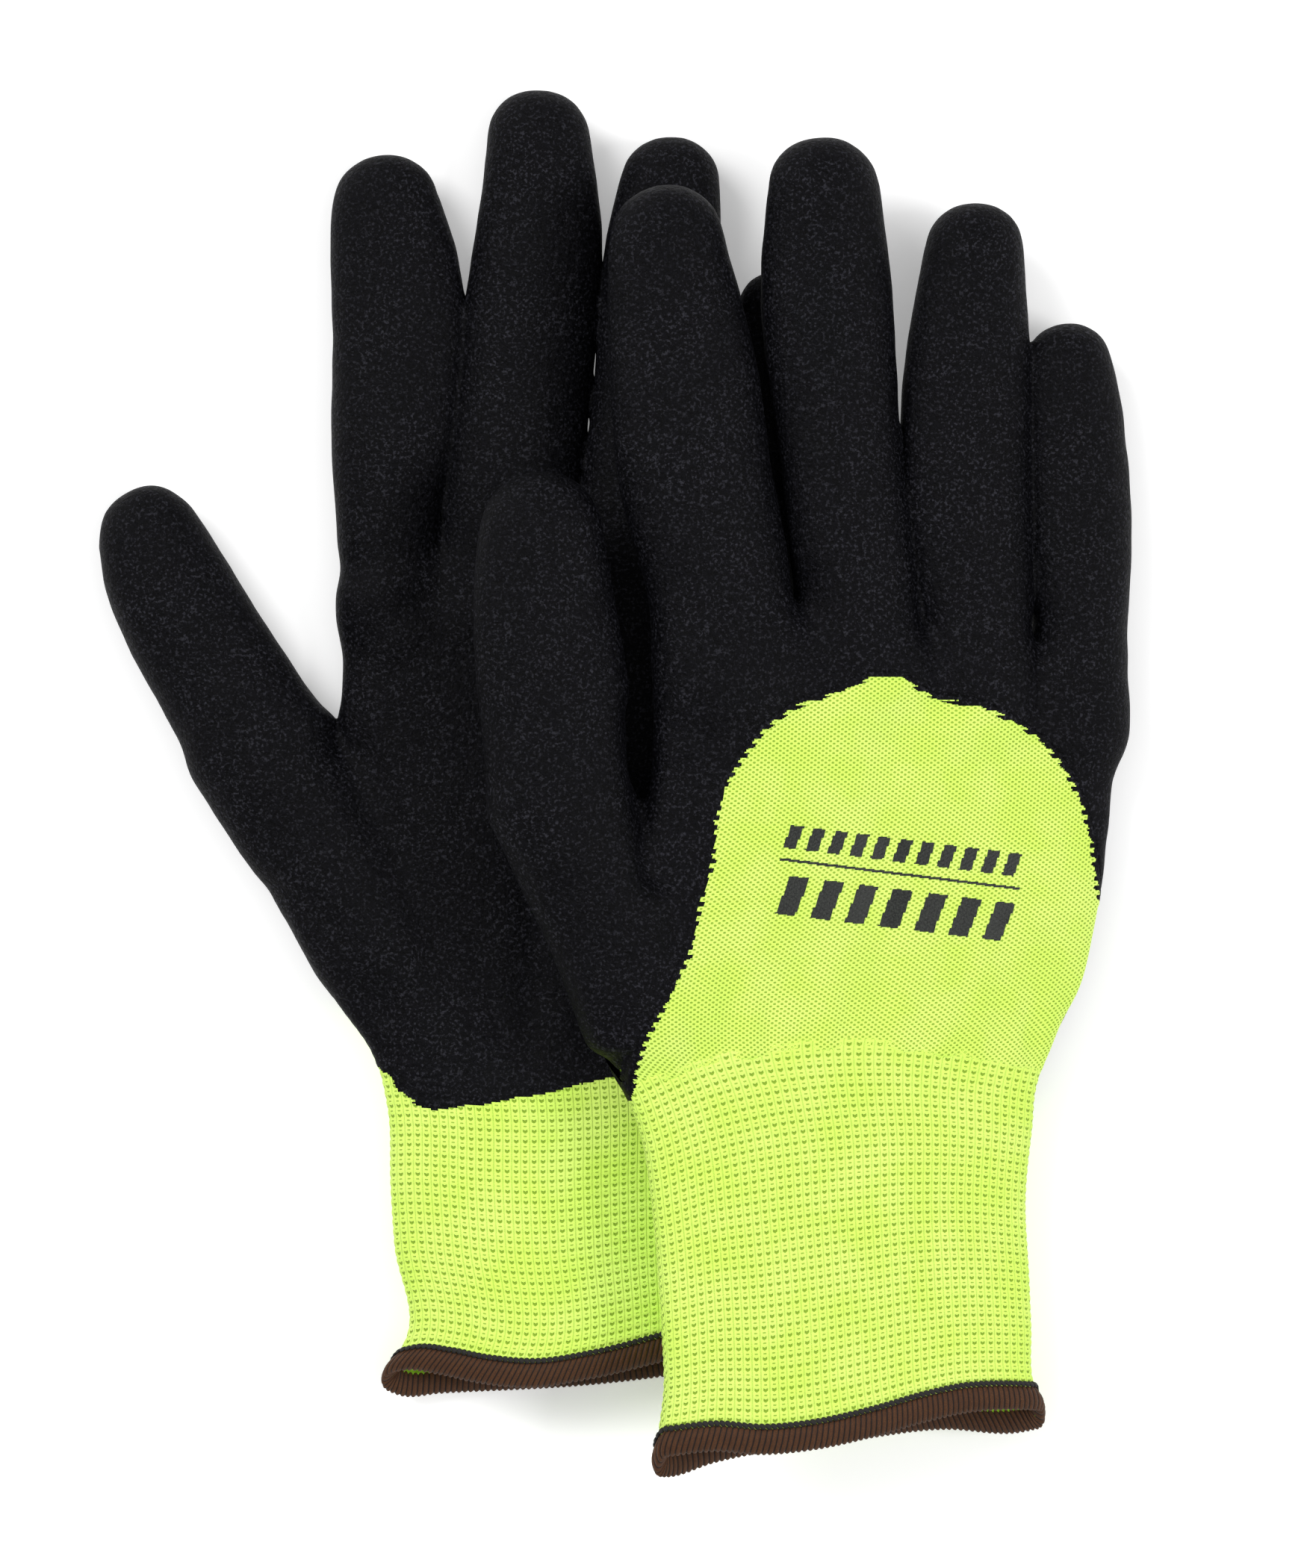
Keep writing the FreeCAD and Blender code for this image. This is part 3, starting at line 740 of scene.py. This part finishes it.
def rib_cuff(glove, materials):
    """The ribbed cuff, stitch by stitch, with its coated tongue."""
    per, per_row = 5, 5
    columns = RIBS * per
    rows = int(CUFF_HEIGHT / RIB_COURSE) * per_row + 1
    p, n = cuff_surface(glove, columns, rows, 0.0)
    column, row = np.meshgrid(np.arange(columns), np.arange(rows))
    uv = np.stack([column.ravel() / per, row.ravel() / per_row], 1)
    u, v = uv[:, 0] % 1 - 0.5, uv[:, 1] % 1
    ridge = 0.07 * np.cos(2 * math.pi * (v - 0.02))
    pit = -0.22 * np.exp(-(((v - 0.45) / 0.16) ** 2) - ((u / 0.20) ** 2))
    furrow = -0.06 * np.exp(-(((np.abs(u) - 0.5) / 0.10) ** 2))
    faces = grid_faces(rows, columns, True)[:, ::-1]
    middle = p[faces].mean(1)
    palm_side = ~on_back(glove, middle[:, 2])
    step = ragged(uv, faces, 0.35)
    coated = palm_side & (middle[:, 1] > curve(middle[:, 0], TONGUE_EDGE) + step)
    beside_window = (window_distance(glove, middle) + step > 0.4) & (middle[:, 1] > TONGUE_SIDE)
    coated |= beside_window & ~palm_side
    coat = np.zeros(len(p), bool)
    coat[faces[coated]] = True
    soaked = 0.45 * smoothstep(2, -9, p[:, 1])
    p = p + n * ((ridge + pit + furrow) * np.where(coat, soaked, 1.0) + np.where(coat, 0.2, 0.0))[:, None]
    both = [materials["rib"], materials["coated_knit"]]
    cuff = make_piece(f"{glove.side}_cuff_knit", glove, p, faces, both, uv, coated)
    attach(cuff, f"{glove.side}_hand")
    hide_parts(f"{glove.side}_cuff")


def lining(glove, materials):
    """The inner face of the cuff and hand, seen through the cuff's mouth."""
    columns, rows = 120, 60
    p, _ = cuff_surface(glove, columns, rows, 1.7)
    deep = [trunk_ring(glove, y, columns) for y in np.linspace(70, 4, 24)]
    inner = np.concatenate([r[0] - 2.3 * r[1] for r in deep])
    column, row = np.meshgrid(np.arange(columns), np.arange(rows + 24))
    uv = np.stack([column.ravel() * RIBS / columns, row.ravel() * 0.6], 1)
    p = np.concatenate([inner, p])
    faces = grid_faces(rows + 24, columns, True)
    liner = make_piece(f"{glove.side}_inner_knit", glove, p, faces, materials["inner"], uv)
    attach(liner, f"{glove.side}_hand")
    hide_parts(f"{glove.side}_cuff_elastic")


def sweep_round_hem(glove, profile_of, columns):
    """Sweeps a closed profile of (outward, down) offsets round the cuff's cut end."""
    p, n = cuff_surface(glove, columns, 61, 0.0)
    p, n = p.reshape(61, columns, 3), n.reshape(61, columns, 3)
    end, normal = p[-1], n[-1]
    down = p[-1] - p[-4]
    down /= np.linalg.norm(down, axis=1)[:, None]
    normal = normal / np.linalg.norm(normal, axis=1)[:, None]
    rings = [end + normal * out[:, None] + down * low[:, None] for out, low in profile_of]
    return np.concatenate(rings)


def hem(glove, materials):
    """The overlocked binding: threads wrapped over the cut end, each one a rounded cord."""
    per, around = 7, 28
    columns = WRAPS * per
    turns = np.linspace(0, 2 * math.pi, around, endpoint=False)
    column = np.arange(columns)
    profiles = []
    for turn in turns:
        across, drop = math.sin(turn), -math.cos(turn)
        slant = 0.5 * drop
        phase = (column / per + slant) % 1
        cord = np.sin(math.pi * phase) ** 0.55
        loop = 0.25 * np.sin(math.pi * phase) * smoothstep(0.6, 1.0, drop)
        swell = HEM_RADIUS - 0.38 + 0.38 * cord
        squash = abs(drop) ** 3
        out = across * (swell + 0.25 * (1 - squash)) - 0.75
        low = drop * (HEM_HEIGHT / 2 + 0.25 * cord + loop) - HEM_HEIGHT / 2 + 1.0
        profiles.append((out, low))
    p = sweep_round_hem(glove, profiles, columns)
    faces = tube_faces(around, columns)
    u = np.tile(column / per, around)
    v = np.repeat(np.arange(around) / around, columns)
    if glove.palm_up:
        p[:, 2] = np.maximum(p[:, 2], 0.02)
    binding = make_piece(f"{glove.side}_hem", glove, p, faces, materials["thread"], np.stack([u, v], 1))
    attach(binding, f"{glove.side}_hand")
    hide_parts(f"{glove.side}_hem_binding")


def looper_chain(glove, materials):
    """The black chain that runs along the binding's upper edge."""
    per, around = 8, 8
    columns = WRAPS * per
    column = np.arange(columns)
    phase = (column / per) % 1
    bead = 0.26 + 0.22 * np.sin(math.pi * phase) ** 0.7
    lean = 0.4 * (phase - 0.5)
    profiles = []
    for turn in np.linspace(0, 2 * math.pi, around, endpoint=False):
        out = 0.36 + math.sin(turn) * bead * 0.9
        low = -HEM_HEIGHT + 0.95 - math.cos(turn) * bead * 1.25 + lean
        profiles.append((out, low))
    p = sweep_round_hem(glove, profiles, columns)
    faces = tube_faces(around, columns)
    if glove.palm_up:
        p[:, 2] = np.maximum(p[:, 2], 0.02)
    chain = make_piece(f"{glove.side}_hem_chain", glove, p, faces, materials["looper"])
    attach(chain, f"{glove.side}_hand")
    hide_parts(f"{glove.side}_hem_stitch")


# ---------------------------------------------------------------- materials


class Recipe:
    """A node material under construction."""

    def __init__(self, name):
        self.material = bpy.data.materials.new(name)
        self.material.use_nodes = True
        self.nodes = self.material.node_tree.nodes
        self.links = self.material.node_tree.links
        self.skin = self.nodes["Principled BSDF"]

    def add(self, kind, **settings):
        node = self.nodes.new(kind)
        for key, value in settings.items():
            setattr(node, key, value)
        return node

    def feed(self, value, socket):
        if isinstance(value, (int, float, tuple)):
            socket.default_value = value
        else:
            self.links.new(value, socket)

    def math(self, operation, a, b=0.0):
        node = self.add("ShaderNodeMath", operation=operation)
        for value, socket in zip((a, b), node.inputs):
            self.feed(value, socket)
        return node.outputs[0]

    def ramp(self, value, low, high, to_low=0.0, to_high=1.0):
        node = self.add("ShaderNodeMapRange", interpolation_type="SMOOTHSTEP")
        for v, socket in zip((value, low, high, to_low, to_high), node.inputs):
            self.feed(v, socket)
        return node.outputs[0]

    def noise(self, pitch, detail=2.0, roughness=0.5, stretch=(1, 1, 1)):
        """Noise whose bumps are about one pitch across, in millimetres of the row frame."""
        where = self.add("ShaderNodeTexCoord").outputs["Object"]
        mapping = self.add("ShaderNodeMapping")
        mapping.inputs["Scale"].default_value = [s * 1000 / pitch for s in stretch]
        self.links.new(where, mapping.inputs["Vector"])
        node = self.add("ShaderNodeTexNoise")
        node.inputs["Scale"].default_value = 1.0
        node.inputs["Detail"].default_value = detail
        node.inputs["Roughness"].default_value = roughness
        self.links.new(mapping.outputs[0], node.inputs["Vector"])
        return node.outputs["Fac"]

    def stitch(self):
        """Stitch coordinates: across and along the knit, one unit a stitch."""
        where = self.add("ShaderNodeUVMap", uv_map="stitch")
        split = self.add("ShaderNodeSeparateXYZ")
        self.links.new(where.outputs[0], split.inputs[0])
        return split.outputs[0], split.outputs[1]

    def mix(self, share, a, b):
        node = self.add("ShaderNodeMix", data_type="RGBA")
        self.feed(share, node.inputs["Factor"])
        self.feed(a, node.inputs["A"])
        self.feed(b, node.inputs["B"])
        return node.outputs["Result"]

    def bump(self, height, depth):
        node = self.add("ShaderNodeBump")
        node.inputs["Strength"].default_value = 1.0
        node.inputs["Distance"].default_value = depth / 1000
        self.feed(height, node.inputs["Height"])
        return node.outputs[0]

    def finish(self, color, roughness, normal, sheen=0.0, tint=(1, 1, 1, 1), glow=0.0, gloss=0.35):
        self.feed(color, self.skin.inputs["Base Color"])
        self.feed(roughness, self.skin.inputs["Roughness"])
        self.links.new(normal, self.skin.inputs["Normal"])
        self.skin.inputs["Specular IOR Level"].default_value = gloss
        self.skin.inputs["Sheen Weight"].default_value = sheen
        self.skin.inputs["Sheen Tint"].default_value = tint
        self.skin.inputs["Sheen Roughness"].default_value = 0.5
        # Glow makes the surface emit its own colour: a painted glow on the knits, an even brightness on the
        # floor.
        if glow:
            self.feed(color, self.skin.inputs["Emission Color"])
            self.skin.inputs["Emission Strength"].default_value = glow
        return self.material


def foam(name, depth):
    """Black sandy foam: fine grain with paler grains among it, gathered in faint patches."""
    r = Recipe(name)
    grain = r.noise(0.75, 3.0, 0.70)
    coarse = r.noise(1.6, 2.0)
    patches = r.ramp(r.noise(14.0, 2.0), 0.3, 0.7, 0.45, 0.85)
    specks = r.ramp(r.noise(0.60, 2.0, 0.6), 0.50, 0.72)
    tone = r.mix(r.ramp(grain, 0.30, 0.75), FOAM_DARK, FOAM_LIGHT)
    tone = r.mix(r.math("MULTIPLY", specks, patches), tone, FOAM_SPECK)
    height = r.math("ADD", grain, r.math("MULTIPLY", coarse, 0.6))
    roughness = r.ramp(grain, 0.3, 0.7, 0.46, 0.64)
    return r.finish(tone, roughness, r.bump(height, depth), gloss=0.07)


def jersey():
    """Fluorescent jersey: staggered pits between the loops darkened with painted shade, fine filaments in the
    yarn, and a faint painted glow.
    """
    r = Recipe("jersey_knit")
    u, v = r.stitch()
    wave_u = r.math("COSINE", r.math("MULTIPLY", u, 2 * math.pi))
    wave_v = r.math("COSINE", r.math("MULTIPLY", v, 2 * math.pi))
    lattice = r.math("MULTIPLY", wave_u, wave_v)
    pit = r.ramp(lattice, 0.10, 0.80)
    fibre = r.noise(0.16, 2.0, 0.6, (1, 0.4, 1))
    shade = r.noise(9.0, 3.0)
    tone = r.mix(r.ramp(shade, 0.3, 0.7), LIME_BRIGHT, LIME_DEEP)
    # Painted shade: the pits between the loops are darkened.
    tone = r.mix(r.math("MULTIPLY", pit, 0.78), tone, LIME_PAINTED_SHADE)
    height = r.math("SUBTRACT", r.math("MULTIPLY", fibre, 0.35), pit)
    # The emission is a faint painted glow.
    return r.finish(tone, 0.72, r.bump(height, 0.16), sheen=0.15, tint=LIME_SHEEN, glow=0.10)


def rib():
    """Fluorescent rib: each stitch has a V and a short dash darkened with painted shade, with a smooth ridge
    between rows and painted shade in the furrows between columns; the knit has a faint painted glow.
    """
    r = Recipe("rib_knit")
    u, v = r.stitch()
    across = r.math("ABSOLUTE", r.math("SUBTRACT", r.math("FRACT", u), 0.5))
    down = r.math("FRACT", v)
    arm_level = r.math("SUBTRACT", 0.50, r.math("MULTIPLY", across, 0.55))
    arm = r.math("ABSOLUTE", r.math("SUBTRACT", down, arm_level))
    vee = r.math("MULTIPLY", r.ramp(arm, 0.06, 0.17, 1.0, 0.0), r.ramp(across, 0.17, 0.30, 1.0, 0.0))
    dash = r.math(
        "MULTIPLY",
        r.ramp(r.math("ABSOLUTE", r.math("SUBTRACT", down, 0.92)), 0.02, 0.08, 1.0, 0.0),
        r.ramp(across, 0.10, 0.22, 1.0, 0.0),
    )
    between = r.ramp(across, 0.40, 0.50)
    gap = r.math("MAXIMUM", vee, r.math("MULTIPLY", dash, 0.75))
    fibre = r.noise(0.16, 2.0, 0.6, (0.5, 1, 1))
    shade = r.noise(11.0, 3.0)
    tone = r.mix(r.ramp(shade, 0.3, 0.7), LIME_BRIGHT, LIME_DEEP)
    # Painted shade in each V and dash and in the furrows between columns.
    shadow = r.math("MAXIMUM", gap, r.math("MULTIPLY", between, 0.25))
    tone = r.mix(r.math("MULTIPLY", shadow, 0.9), tone, LIME_PAINTED_SHADE)
    hollow = r.math("ADD", gap, r.math("MULTIPLY", between, 0.5))
    height = r.math("SUBTRACT", r.math("MULTIPLY", fibre, 0.3), hollow)
    # The emission is a faint painted glow.
    return r.finish(tone, 0.72, r.bump(height, 0.22), sheen=0.15, tint=LIME_SHEEN, glow=0.10)


def inner_knit():
    """The knit's inner face: looped, duller, with elastic yarns along every few rows and a faint painted
    glow.
    """
    r = Recipe("inner_knit")
    u, v = r.stitch()
    loops = r.math("MULTIPLY", r.math("SINE", r.math("MULTIPLY", u, 2 * math.pi)), 0.5)
    rows = r.math("SINE", r.math("MULTIPLY", v, 2 * math.pi))
    fibre = r.noise(0.3, 2.0)
    tone = r.mix(r.ramp(rows, -0.6, 0.6), INNER_LIGHT, INNER_DARK)
    height = r.math("ADD", r.math("ADD", loops, rows), r.math("MULTIPLY", fibre, 0.5))
    # The emission is a faint painted glow.
    return r.finish(tone, 0.8, r.bump(height, 0.25), sheen=0.1, tint=LIME_SHEEN, glow=0.04)


def thread():
    """Brown filament thread, with painted shade between the wraps."""
    r = Recipe("hem_thread")
    u, v = r.stitch()
    slant = r.math("MULTIPLY", r.math("COSINE", r.math("MULTIPLY", v, 2 * math.pi)), -0.5)
    phase = r.math("FRACT", r.math("ADD", u, slant))
    gap = r.ramp(r.math("ABSOLUTE", r.math("SUBTRACT", phase, 0.5)), 0.28, 0.47)
    fibre = r.noise(0.14, 3.0, 0.6)
    shade = r.noise(2.2, 2.0)
    tone = r.mix(r.ramp(fibre, 0.35, 0.70), BROWN_DARK, BROWN_LIGHT)
    tone = r.mix(r.ramp(shade, 0.3, 0.7, 0.0, 0.35), tone, BROWN_DARK)
    # Painted shade between the wraps.
    tone = r.mix(gap, tone, BROWN_PAINTED_SHADE)
    return r.finish(tone, 0.6, r.bump(fibre, 0.10), sheen=0.05, tint=BROWN_SHEEN, gloss=0.3)


def looper():
    """Black spun thread."""
    r = Recipe("looper_thread")
    fibre = r.noise(0.12, 3.0, 0.6)
    tone = r.mix(fibre, LOOPER_DARK, LOOPER_LIGHT)
    return r.finish(tone, 0.6, r.bump(fibre, 0.08), sheen=0.02, gloss=0.2)


def ink():
    """Black transfer film, slightly glossy, cracked a little over the stitches."""
    r = Recipe("print_ink")
    grain = r.noise(0.35, 3.0)
    tone = r.mix(r.ramp(grain, 0.35, 0.75), INK_DARK, INK_LIGHT)
    return r.finish(tone, r.ramp(grain, 0.3, 0.7, 0.35, 0.55), r.bump(grain, 0.08), gloss=0.25)


def all_materials():
    return {
        "foam": foam("foam_coating", 0.34),
        "coated_knit": foam("coated_knit", 0.22),
        "jersey": jersey(),
        "rib": rib(),
        "inner": inner_knit(),
        "thread": thread(),
        "looper": looper(),
        "ink": ink(),
    }


# ---------------------------------------------------------------- stage


def floor():
    """A plain pale floor."""
    mesh = bpy.data.meshes.new("floor")
    corners = [(-1, -1), (1, -1), (1, 1), (-1, 1)]
    mesh.from_pydata([(x * FLOOR_HALF, y * FLOOR_HALF, 0) for x, y in corners], [], [(0, 1, 2, 3)])
    plane = bpy.data.objects.new("floor", mesh)
    bpy.context.scene.collection.objects.link(plane)
    plane.location.z = -FLOOR_DROP
    r = Recipe("floor")
    normal = r.bump(r.noise(3.0), 0.01)
    mesh.materials.append(r.finish(FLOOR_COLOUR, 0.9, normal, glow=0.30))


def lamp(name, place_at, size, power):
    """A soft square lamp that faces the gloves."""
    light = bpy.data.lights.new(name, "AREA")
    light.size = size
    light.energy = power
    thing = bpy.data.objects.new(name, light)
    bpy.context.scene.collection.objects.link(thing)
    thing.location = place_at
    thing.rotation_mode = "QUATERNION"
    thing.rotation_quaternion = (-thing.location).to_track_quat("-Z", "Y")


def studio():
    """The floor, two lamps and a pale dome that lights from above."""
    floor()
    lamp("key", KEY_PLACE, KEY_SIZE, KEY_POWER)
    lamp("fill", FILL_PLACE, FILL_SIZE, FILL_POWER)
    world = bpy.data.worlds.new("studio")
    world.use_nodes = True
    nodes, links = world.node_tree.nodes, world.node_tree.links
    split = nodes.new("ShaderNodeSeparateXYZ")
    dome = nodes.new("ShaderNodeMapRange")
    dome.interpolation_type = "SMOOTHSTEP"
    for socket, value in zip(dome.inputs[1:5], DOME):
        socket.default_value = value
    links.new(nodes.new("ShaderNodeTexCoord").outputs["Generated"], split.inputs[0])
    links.new(split.outputs["Z"], dome.inputs["Value"])
    seen = nodes.new("ShaderNodeMath")
    seen.operation = "MULTIPLY"
    links.new(nodes.new("ShaderNodeLightPath").outputs["Is Camera Ray"], seen.inputs[0])
    seen.inputs[1].default_value = BACKDROP
    brighter = nodes.new("ShaderNodeMath")
    brighter.operation = "MAXIMUM"
    links.new(dome.outputs[0], brighter.inputs[0])
    links.new(seen.outputs[0], brighter.inputs[1])
    links.new(brighter.outputs[0], nodes["Background"].inputs["Strength"])
    nodes["Background"].inputs["Color"].default_value = (1, 1, 1, 1)
    bpy.context.scene.world = world
    bpy.context.scene.view_settings.view_transform = "Standard"


def camera():
    """Looks straight down. The picture's long side covers the frame height at the gloves' level."""
    data = bpy.data.cameras.new("camera")
    data.lens = LENS
    data.sensor_width = SENSOR
    thing = bpy.data.objects.new("camera", data)
    bpy.context.scene.collection.objects.link(thing)
    thing.location = (*FRAME_CENTRE, FRAME_HEIGHT * LENS / SENSOR + GLOVE_LEVEL)
    bpy.context.scene.camera = thing


def main():
    materials = all_materials()
    for glove in GLOVES:
        coated_hand(glove, materials)
        knit = bare_knit(glove, materials)
        printed_mark(glove, knit, materials)
        rib_cuff(glove, materials)
        lining(glove, materials)
        hem(glove, materials)
        looper_chain(glove, materials)
    studio()
    camera()


main()
